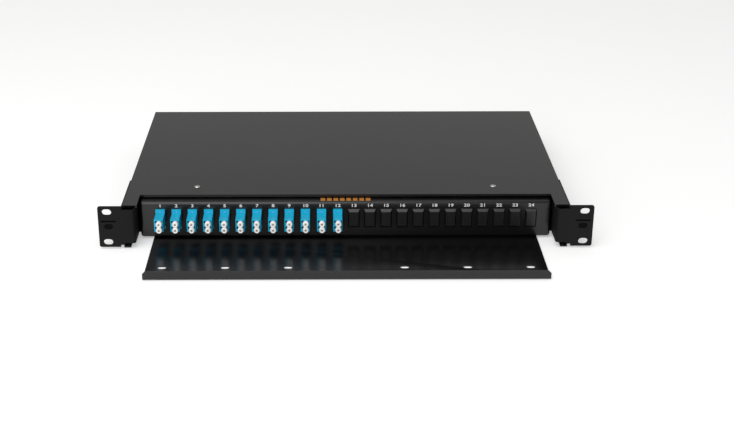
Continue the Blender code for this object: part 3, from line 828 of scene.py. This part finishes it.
@dataclass
class DrawerSheets:
    """Tray, shelf, runners and the flanged front panel."""

    sheet: float = 0.0012
    bend: float = 0.0025
    corner: float = 0.0030
    cut_width: float = 0.0097
    cut_height: float = 0.0136
    cut_edge: float = 0.00015
    bend_steps: int = 7

    def build(self) -> None:
        """Make the drawer's sheet-metal pieces."""
        for node in ("drawer_tray", "cable_shelf"):
            publish_copy(node, "_sheet", SATIN_COAT, Body.DRAWER)
        for side in Side:
            publish_copy("runner_" + side.word, "_bar", MATT_COAT, Body.DRAWER)
        publish("front_panel_dish", self.panel(), [SATIN_COAT], Body.DRAWER, ["front_panel"])

    def dish(self, inset: float) -> Mesh:
        """A box with round corners and round front edges.

        Args:
            inset: How much smaller it is on its four sides, and how far it lies behind the panel.

        Returns:
            The solid.
        """
        low, high = corners("front_panel")
        front, rear = low.y + inset, high.y + inset
        bm = bmesh.new()
        bm.from_mesh(block((low.x + inset, front, low.z + inset), (high.x - inset, rear, high.z - inset)))
        along = [edge for edge in bm.edges if abs(edge.verts[0].co.y - edge.verts[1].co.y) > 1e-4]
        self.round_off(bm, along, self.corner - inset)
        rim = [edge for edge in bm.edges if all(abs(vert.co.y - front) < 1e-5 for vert in edge.verts)]
        self.round_off(bm, rim, self.bend - inset)
        return finished(bm, "dish")

    def round_off(self, bm: bmesh.types.BMesh, edges: list[bmesh.types.BMEdge], radius: float) -> None:
        """Round these edges of a shape."""
        bmesh.ops.bevel(
            bm, geom=edges, offset=radius, offset_type="OFFSET", segments=self.bend_steps,
            profile=0.5, affect="EDGES",
        )

    def panel(self) -> Mesh:
        """The front panel with its row of cutouts."""
        low, _ = corners("front_panel")
        hollow = self.dish(self.sheet)
        windows = []
        for port in PortRow.ports():
            x, z = port.x, port.z
            windows.append(block(
                (x - self.cut_width / 2, low.y - self.sheet, z - self.cut_height / 2),
                (x + self.cut_width / 2, low.y + 3 * self.sheet, z + self.cut_height / 2),
            ))
        mesh = carved(self.dish(0.0), hollow)
        return eased(carved(mesh, joined(windows)), self.cut_edge, sharp=40.0)


@dataclass(frozen=True)
class Port:
    """One place in the row of ports."""

    number: int
    node: str
    x: float
    z: float

    @property
    def filled(self) -> bool:
        """Whether an adapter sits here, and not a blank."""
        return self.node.startswith("adapter")


@dataclass
class PortRow:
    """Adapters, dust caps, blanks and numbers along the front panel."""

    flange_front: float = 0.0023
    window_start: float = 0.0045
    window_end: float = 0.0105
    window_half: float = 0.0045
    window_sink: float = 0.0005
    socket_reach: float = 0.0041
    socket_margin: float = 0.0003
    socket_lip: float = 0.0004
    socket_depth: float = 0.0092
    screw_inset: float = 0.0022
    cap_length: float = 0.0042
    cap_round: float = 0.0007
    cap_chamfer: float = 0.0003
    stub_radius: float = 0.0019
    stub_tip: float = 0.0005
    neck_half: float = 0.0018
    neck_share: float = 0.62
    well_radius: float = 0.0010
    well_depth: float = 0.0016
    dish_radius: float = 0.0020
    dish_depth: float = 0.0003
    digit_height: float = 0.0031
    digit_stretch: float = 1.30
    digit_bold: float = 0.00010
    digit_rise: float = 0.0136
    digit_space: float = 1.04
    font_height: float = 0.70
    ink: float = 0.00004
    dash_count: int = 8
    dash_pitch: float = 0.0064
    dash_length: float = 0.0046
    dash_span: Flat = (0.0026, 0.0098)

    @staticmethod
    def ports() -> list[Port]:
        """The ports from left to right."""
        row = []
        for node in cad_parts:
            if node.startswith(("adapter_", "blank_plug_")):
                middle = centre(node)
                row.append(Port(int(node[-2:]), node, middle.x, middle.z))
        return sorted(row, key=lambda port: port.number)

    def build(self) -> None:
        """Make everything in the row."""
        filled = [port for port in self.ports() if port.filled]
        blanks = [port for port in self.ports() if not port.filled]
        shell = self.adapter_shell(filled[0])
        cap = self.cap(filled[0])
        first_cap = corners("dust_cap_01")
        for port in filled:
            shift = (port.x - filled[0].x, 0.0, 0.0)
            # The second finish paints shade on the faces inside the sockets.
            publish("adapter_shell_%02d" % port.number, moved(shell, shift), [BLUE_PLASTIC, SOCKET_PAINTED_SHADE],
                    Body.DRAWER, [port.node])
            node = "dust_cap_%02d" % port.number
            shift = tuple(corners(node)[0] - first_cap[0])
            # The second finish paints shade in the caps' wells.
            publish("dust_cap_pair_%02d" % port.number, moved(cap, shift), [CAP_PLASTIC, CAP_WELL_PAINTED_SHADE],
                    "cap_%02d" % port.number, [node])
        self.build_flange_screws(filled)
        self.build_blanks(blanks)
        self.build_numbers()
        self.build_orange_marks()

    def adapter_shell(self, port: Port) -> Mesh:
        """An adapter with a shallow window in each side, and painted shade (a dark blue coat) on the faces
        inside its sockets.

        Args:
            port: The port it is made for.

        Returns:
            The shell in that port's place.
        """
        low, _ = corners(port.node)
        mesh = merged_copy(port.node)
        rim = [vert.co for vert in mesh.vertices if vert.co.y < low.y + 0.0001]
        half_height = max(place.z for place in rim) - port.z
        half_width = max(place.x for place in rim) - port.x
        tools = []
        for side in Side:
            wall = port.x + side.value * half_width
            near, far = sorted((wall - side.value * self.window_sink, wall + side.value * 0.001))
            tools.append(block(
                (near, low.y + self.window_start, port.z - self.window_half),
                (far, low.y + self.window_end, port.z + self.window_half),
            ))

        def in_socket(spot: Vector) -> bool:
            """Whether a face's centre lies in one of the sockets, where shade is painted."""
            across, up = abs(spot.x - port.x), abs(spot.z - port.z)
            inside = across < self.socket_reach and up < half_height - self.socket_margin
            return inside and self.socket_lip < spot.y - low.y < self.socket_depth

        return second_finish(eased(carved(mesh, joined(tools))), in_socket)

    def cap(self, port: Port) -> Mesh:
        """A dust cap: two round heads on a neck, each with a shallow dish and a well, and two stubs; the
        wells take a dark tan as painted shade.
        """
        low, high = corners("dust_cap_%02d" % port.number)
        radius = (high.x - low.x) / 2
        reach = ((high.z - low.z) - 2 * radius) / 2
        middle = Vector(((high.x + low.x) / 2, low.y, (high.z + low.z) / 2))
        length, chamfer = self.cap_length, self.cap_chamfer
        tail = high.y - low.y - length
        dish, well = self.dish_radius, self.well_radius
        profile = [(0.0, length), (radius - chamfer, length), (radius, length - chamfer)]
        profile += arc((radius - self.cap_round, self.cap_round), self.cap_round, 0, -90, 5)
        profile += [(dish + 0.0002, 0.0), (dish, self.dish_depth), (well, self.dish_depth)]
        profile += [(well - 0.0001, self.well_depth), (0.0, self.well_depth)]
        head = turned(list(reversed(profile)), 40)
        stub_profile = [
            (0.0, 0.0), (self.stub_radius, 0.0), (self.stub_radius, tail - self.stub_tip),
            (self.stub_radius - self.stub_tip, tail), (0.0, tail),
        ]
        stub = moved(turned(stub_profile, 28), (0.0, 0.0, length - 0.0001))
        one = carved(head, stub, "UNION")
        heads = [moved(one, (0.0, 0.0, side * reach), TO_REAR) for side in (-1, 1)]
        half, rise = self.neck_half, reach * self.neck_share
        neck = block((-half, 0.0006, -rise), (half, length - 0.0002, rise))
        mesh = carved(carved(heads[0], heads[1], "UNION"), neck, "UNION")
        mesh.transform(Matrix.Translation(middle))

        def in_well(spot: Vector) -> bool:
            """Whether a face's centre lies in one of the wells, where shade is painted."""
            near = math.hypot(spot.x - middle.x, abs(spot.z - middle.z) - reach)
            return near < well and self.dish_depth * 1.2 < spot.y - middle.y < length

        return second_finish(smoothed(mesh, 38), in_well)

    def build_flange_screws(self, filled: Sequence[Port]) -> None:
        """Two small screws in each adapter's flange."""
        low, high = corners(filled[0].node)
        face = corners("front_panel")[0].y - self.flange_front
        reach = (high.z - low.z) / 2 - self.screw_inset
        seats = [(port.x, face, port.z + side * reach) for port in filled for side in (-1, 1)]
        screws = ScrewSet(head_radius=0.0014, head_height=0.0007, recess_reach=0.0009, recess_width=0.0003)
        heads = screws.grow(seats, (math.radians(90), 0.0, 0.0))
        publish("adapter_flange_screws", heads, [RIVET_STEEL], Body.DRAWER)

    def build_blanks(self, blanks: Sequence[Port]) -> None:
        """The row of blanks, grown from one bevelled cover and its plug."""
        low, high = corners(blanks[0].node)
        tree = GrownTree("blank_row", {
            "Width": high.x - low.x, "Height": high.z - low.z,
            "Rim": 0.0004, "Bevel": 0.0024, "Side Bevel": 0.0013,
            "Plug Width": 0.0088, "Plug Height": 0.0130, "Plug Depth": 0.0080,
            "Material": BLANK_PLASTIC.material(),
        })
        craft = tree.craft
        plate = craft.node("GeometryNodeMeshGrid", values={
            "Size X": tree["Width"], "Size Y": tree["Height"], "Vertices X": 2, "Vertices Y": 2,
        })
        rim = self.raised(craft, plate, tree["Rim"], None)
        shrink = craft.vector(
            X=1.0 - tree["Side Bevel"] * 2.0 / tree["Width"],
            Y=1.0 - tree["Bevel"] * 2.0 / tree["Height"], Z=1.0,
        )
        cover = self.raised(craft, rim, tree["Bevel"], shrink)
        back_face = craft.node("GeometryNodeFlipFaces", values={0: plate})
        cover = craft.node("GeometryNodeJoinGeometry", values={0: [cover, back_face]})
        cover = craft.node("GeometryNodeMergeByDistance", values={"Geometry": cover, "Distance": 0.00001})
        size = craft.vector(X=tree["Plug Width"], Y=tree["Plug Height"], Z=tree["Plug Depth"])
        plug = craft.node("GeometryNodeMeshCube", values={"Size": size})
        plug = craft.shifted(plug, Translation=craft.vector(Z=tree["Plug Depth"] * -0.5 + 0.0003))
        blank = craft.node("GeometryNodeMeshBoolean", {"operation": "UNION"}, {"Mesh 2": [cover, plug]})
        blank = craft.shifted(blank, Rotation=(math.radians(90), 0.0, 0.0))
        tree.end(tree.spread(tree["Geometry"], blank))
        face = corners("front_panel")[0].y - 0.0003
        mesh = eased(tree.grow(seats_at([(port.x, face, port.z) for port in blanks])), 0.0002, sharp=25.0)
        publish("blank_plug_row", mesh, [BLANK_PLASTIC], Body.DRAWER, [port.node for port in blanks])

    @staticmethod
    def raised(craft: Craft, geometry: Signal, height: Signal, shrink: Optional[Signal]) -> Signal:
        """Extrude a plate's one face along Z.

        Args:
            craft: The tree being built.
            geometry: The plate.
            height: How far to go.
            shrink: Scale of the new face, where it narrows.

        Returns:
            The plate with its new sides.
        """
        normal = craft.node("GeometryNodeInputNormal")
        up = craft.node("ShaderNodeSeparateXYZ", values={0: normal}, output="Z") > 0.5
        extrude = craft.node("GeometryNodeExtrudeMesh", {"mode": "FACES"}, {
            "Mesh": geometry, "Selection": up, "Offset": (0.0, 0.0, 1.0),
            "Offset Scale": height, "Individual": False,
        })
        if shrink is None:
            return extrude
        top = Signal(craft, extrude.socket.node.outputs["Top"])
        place = craft.node("GeometryNodeInputPosition")
        narrow = craft.node("ShaderNodeVectorMath", {"operation": "MULTIPLY"}, {0: place, 1: shrink})
        values = {"Geometry": extrude, "Selection": top, "Position": narrow}
        return craft.node("GeometryNodeSetPosition", values=values)

    def build_numbers(self) -> None:
        """Port numbers 1 to 24 above the ports, as thin raised ink."""
        face = corners("front_panel")[0].y
        upright = TO_FRONT @ Matrix.Diagonal((self.digit_stretch, 1.0, 1.0, 1.0))
        meshes = []
        for port in self.ports():
            words = bpy.data.curves.new("number", "FONT")
            words.body = str(port.number)
            words.align_x = "CENTER"
            words.align_y = "BOTTOM_BASELINE"
            words.size = self.digit_height / self.font_height
            words.offset = self.digit_bold
            words.extrude = self.ink / 2
            words.space_character = self.digit_space
            holder = linked("number", words)
            graph = bpy.context.evaluated_depsgraph_get()
            mesh = bpy.data.meshes.new_from_object(holder.evaluated_get(graph))
            bpy.data.objects.remove(holder, do_unlink=True)
            base = port.z + self.digit_rise - self.digit_height / 2
            meshes.append(moved(mesh, (port.x, face - self.ink / 2, base), upright))
        publish("port_numbers", joined(meshes), [WHITE_INK], Body.DRAWER)

    def build_orange_marks(self) -> None:
        """A plain row of orange dashes printed on the panel's top flange."""
        low, high = corners("front_panel")
        half, (start, end) = self.dash_length / 2, self.dash_span
        dashes = []
        for index in range(self.dash_count):
            x = (index - (self.dash_count - 1) / 2) * self.dash_pitch
            dashes.append(block(
                (x - half, low.y + start, high.z - self.ink), (x + half, low.y + end, high.z + self.ink),
            ))
        publish("orange_dashes", joined(dashes), [ORANGE_INK], Body.DRAWER)


@dataclass
class CableFittings:
    """Glands at the rear, and the clamps, spools and splice tray inside the drawer."""

    rib_count: int = 24
    rib_width: float = 0.0009
    rib_height: float = 0.0005
    bore: float = 0.0050
    thread: float = 0.0080
    thread_depth: float = 0.0006
    thread_turns: int = 6
    shoulder: float = 0.0090
    hexagon: Flat = (0.0112, 0.0125)
    hexagon_height: float = 0.0055
    nut_radius: float = 0.0108
    nut_straight: float = 0.0158
    dome_radius: float = 0.0058
    hub: float = 0.0180
    hub_wall: float = 0.0020
    spool_flange: float = 0.0018
    fingers: int = 8
    notch_half: float = 0.0028
    lid_ribs: int = 5
    lid_rib_pitch: float = 0.0140
    lid_rib_reach: float = 0.0300

    def build(self) -> None:
        """Make the fittings of both sides, and the splice tray."""
        for side in Side:
            self.build_gland(side)
            self.build_inside(side)
        self.build_splice_tray()

    def build_gland(self, side: Side) -> None:
        """One gland: hexagon flange with a threaded neck, and its ribbed nut."""
        body, nut = "gland_body_" + side.word, "gland_nut_" + side.word
        low, high = corners(body)
        middle = centre(body)
        wall = corners("case_base")[1].y
        place = (middle.x, wall, middle.z)
        bore, thread, shoulder = self.bore, self.thread, self.shoulder
        inside, top = wall - low.y, high.y - wall
        neck = [(bore, -inside), (shoulder, -inside), (shoulder, 0.0004), (thread, 0.0004)]
        step = (top - 0.0062) / self.thread_turns
        for index in range(self.thread_turns):
            start = 0.0058 + step * index
            neck += [(thread, start), (thread - self.thread_depth, start + step / 2)]
        neck += [(thread, top - 0.0002), (thread - 0.0002, top), (bore, top)]
        (cut, full), tall = self.hexagon, self.hexagon_height
        sides = [
            (bore, 0.0003), (cut, 0.0003), (full, 0.0010), (full, tall - 0.0007), (cut, tall), (bore, tall),
        ]
        mesh = eased(joined([turned(neck, 48, True), turned(sides, 6, True)]), 0.0002, sharp=40.0)
        publish(body + "_turned", moved(mesh, place, TO_REAR), [GLAND_PLASTIC], Body.CASE, [body])
        start, reach = (edge.y - wall for edge in corners(nut))
        inner, outer, dome = thread + 0.0004, self.nut_radius, self.dome_radius
        profile = [(inner, start), (outer - 0.0004, start), (outer, start + 0.0004)]
        profile.append((outer, self.nut_straight))
        profile += arc((outer - dome, reach - dome - 0.0006), dome, 5, 62, 7)
        profile += [(0.0064, reach), (bore, reach), (bore, 0.0155), (inner, 0.0155)]
        shell = smoothed(turned(profile, 48, True), 35)
        mesh = joined([shell, self.ribs(outer, start + 0.0008, 0.0152)])
        publish(nut + "_ribbed", moved(mesh, place, TO_REAR), [GLAND_PLASTIC], Body.CASE, [nut])

    def ribs(self, radius: float, start: float, end: float) -> Mesh:
        """Grip ribs round a nut, grown on a ring of points.

        Args:
            radius: The nut's outer radius.
            start: Lower end of the ribs along the axis.
            end: Upper end.

        Returns:
            The ribs in one mesh, about Z.
        """
        tree = GrownTree("grip_ribs", {
            "Count": self.rib_count, "Radius": radius, "Length": end - start, "Width": self.rib_width,
            "Height": self.rib_height, "Middle": (start + end) / 2, "Material": GLAND_PLASTIC.material(),
        })
        craft = tree.craft
        values = {"Vertices": tree["Count"], "Radius": tree["Radius"]}
        ring = craft.node("GeometryNodeMeshCircle", values=values)
        place = craft.node("GeometryNodeInputPosition")
        turn = craft.node("FunctionNodeAlignRotationToVector", {"axis": "X"}, {"Vector": place})
        rib = craft.node("GeometryNodeMeshCylinder", values={
            "Vertices": 8, "Radius": tree["Width"] * 0.5 + tree["Height"] * 0.2, "Depth": tree["Length"],
        })
        spread = tree.spread(ring, rib, Rotation=turn)
        tree.end(craft.shifted(spread, Translation=craft.vector(Z=tree["Middle"])))
        return smoothed(tree.grow(seats_at([(0.0, 0.0, 0.0)])), 50)

    def build_inside(self, side: Side) -> None:
        """One clamp with its two screws, and one spool with its spokes."""
        clamp = "cable_clamp_" + side.word
        publish_copy(clamp, "_saddle", ZINC, Body.DRAWER)
        low, high = corners(clamp)
        middle = centre(clamp)
        seats = [(x, middle.y, low.z + 0.0015) for x in (low.x + 0.0030, high.x - 0.0030)]
        heads = ScrewSet(head_radius=0.0022, head_height=0.0011).grow(seats, (0.0, 0.0, 0.3))
        publish(clamp + "_screws", heads, [SCREW_STEEL], Body.DRAWER)
        spool = "fibre_spool_" + side.word
        publish(spool + "_drum", self.spool(spool), [TRAY_PLASTIC], Body.DRAWER, [spool])

    def spool(self, node: str) -> Mesh:
        """A slack spool: hub between two rims, the upper one cut into fingers."""
        low, high = corners(node)
        middle = centre(node)
        rim, tall = (high.x - low.x) / 2, high.z - low.z
        hub, bore, flange = self.hub, self.hub - self.hub_wall, self.spool_flange
        profile = [(bore, 0.0), (rim, 0.0), (rim, flange), (hub, flange), (hub, tall - flange),
                   (rim, tall - flange), (rim, tall), (bore, tall)]
        half = self.notch_half
        notch = block((hub + 0.0006, -half, tall / 2), (rim + 0.002, half, tall + 0.002))
        notches = []
        for index in range(self.fingers):
            angle = math.tau * (index + 0.5) / self.fingers
            notches.append(moved(notch, turn=Matrix.Rotation(angle, 4, "Z")))
        mesh = carved(turned(profile, 64, True), joined(notches))
        return moved(eased(mesh, sharp=35.0), (middle.x, middle.y, low.z))

    def build_splice_tray(self) -> None:
        """The splice tray and its lid, which has stiffening ribs and two screws."""
        publish_copy("splice_tray", "_pan", TRAY_PLASTIC, Body.DRAWER)
        lid = eased(merged_copy("splice_tray_lid"), 0.0004)
        low, high = corners("splice_tray_lid")
        middle, reach = (low.y + high.y) / 2, self.lid_rib_reach
        ribs = []
        for index in range(self.lid_ribs):
            y = middle + (index - (self.lid_ribs - 1) / 2) * self.lid_rib_pitch
            rib = block((-reach, y - 0.0007, high.z - 0.0002), (reach, y + 0.0007, high.z + 0.0008))
            ribs.append(eased(rib))
        plate = joined([lid] + ribs)
        publish("splice_tray_lid_plate", plate, [TRAY_PLASTIC], Body.DRAWER, ["splice_tray_lid"])
        seats = [(side.value * (high.x - 0.0130), middle, high.z) for side in Side]
        heads = ScrewSet(head_radius=0.0030, head_height=0.0014).grow(seats, (0.0, 0.0, 0.2))
        publish("splice_tray_screws", heads, [SCREW_STEEL], Body.DRAWER)


@dataclass
class Studio:
    """Pale floor, soft light and the camera."""

    floor_half: float = 9.0
    floor_glow: float = 0.35
    floor_tone: float = 0.80
    sky: float = 0.46
    softbox_place: Point = (-0.45, -0.80, 1.75)
    softbox_size: float = 1.60
    softbox_power: float = 17.0
    fill_place: Point = (-0.90, -2.60, 0.80)
    fill_size: float = 2.00
    fill_power: float = 29.0
    camera_place: Point = (-0.018, -1.3095, 0.552)
    camera_pitch: float = 23.70
    camera_yaw: float = -0.14
    camera_roll: float = -0.09
    camera_lens: float = 65.51
    camera_shift: float = 0.0499

    def build(self) -> None:
        """Set the floor, the world, the lights and the camera."""
        self.build_floor()
        self.build_world()
        self.build_light("softbox", self.softbox_place, self.softbox_size, self.softbox_power)
        self.build_light("fill", self.fill_place, self.fill_size, self.fill_power)
        self.build_camera()
        bpy.context.scene.view_settings.view_transform = "Standard"

    def build_floor(self) -> None:
        """A wide pale floor just below the box."""
        reach = self.floor_half
        mesh = bpy.data.meshes.new("floor")
        height = CAD_BOX[0][2] - 0.0002
        square = [(-reach, -reach), (reach, -reach), (reach, reach), (-reach, reach)]
        mesh.from_pydata([(x, y, height) for x, y in square], [], [(0, 1, 2, 3)])
        paper = bpy.data.materials.new("studio_paper")
        paper.use_nodes = True
        craft = SurfaceCraft(paper.node_tree)
        shader = paper.node_tree.nodes["Principled BSDF"]
        tone, paler = ((grey, grey, grey) for grey in (self.floor_tone, self.floor_tone * 1.02))
        craft.feed(shader.inputs["Base Color"], craft.blend(craft.noise(0.4), tone, paler))
        shader.inputs["Roughness"].default_value = 0.9
        shader.inputs["Specular IOR Level"].default_value = 0.1
        shader.inputs["Emission Color"].default_value = (1.0, 1.0, 1.0, 1.0)
        shader.inputs["Emission Strength"].default_value = self.floor_glow
        mesh.materials.append(paper)
        floor = linked("studio_floor", mesh)

    def build_world(self) -> None:
        """An even grey sky."""
        world = bpy.data.worlds.new("studio_sky")
        world.use_nodes = True
        background = world.node_tree.nodes["Background"]
        background.inputs["Color"].default_value = (1.0, 0.99, 0.98, 1.0)
        background.inputs["Strength"].default_value = self.sky
        bpy.context.scene.world = world

    @staticmethod
    def build_light(name: str, place: Point, size: float, power: float) -> None:
        """A square area light aimed at the front of the box.

        Args:
            name: The light's name.
            place: Where it stands.
            size: Its side.
            power: Its power in watts.
        """
        lamp = bpy.data.lights.new(name, "AREA")
        lamp.shape = "SQUARE"
        lamp.size = size
        lamp.energy = power
        holder = linked(name, lamp)
        holder.location = place
        aim = Vector((0.0, -0.05, 0.02)) - holder.location
        holder.rotation_euler = aim.to_track_quat("-Z", "Y").to_euler()

    def build_camera(self) -> None:
        """The camera, in front and a little above."""
        lens = bpy.data.cameras.new("view")
        lens.lens = self.camera_lens
        lens.sensor_width = 36.0
        lens.shift_x = self.camera_shift
        camera = linked("view", lens)
        turn = Matrix.Rotation(math.radians(self.camera_yaw), 4, "Z")
        turn = turn @ Matrix.Rotation(math.radians(90.0 - self.camera_pitch), 4, "X")
        turn = turn @ Matrix.Rotation(math.radians(self.camera_roll), 4, "Z")
        camera.matrix_world = Matrix.Translation(self.camera_place) @ turn
        bpy.context.scene.camera = camera


def main() -> None:
    """Build the box and its studio."""
    logging.basicConfig(level=logging.INFO, format="%(name)s %(message)s")
    Studio().build()
    CaseShell().build()
    DrawerSheets().build()
    PortRow().build()
    CableFittings().build()


if __name__ == "__main__":
    main()
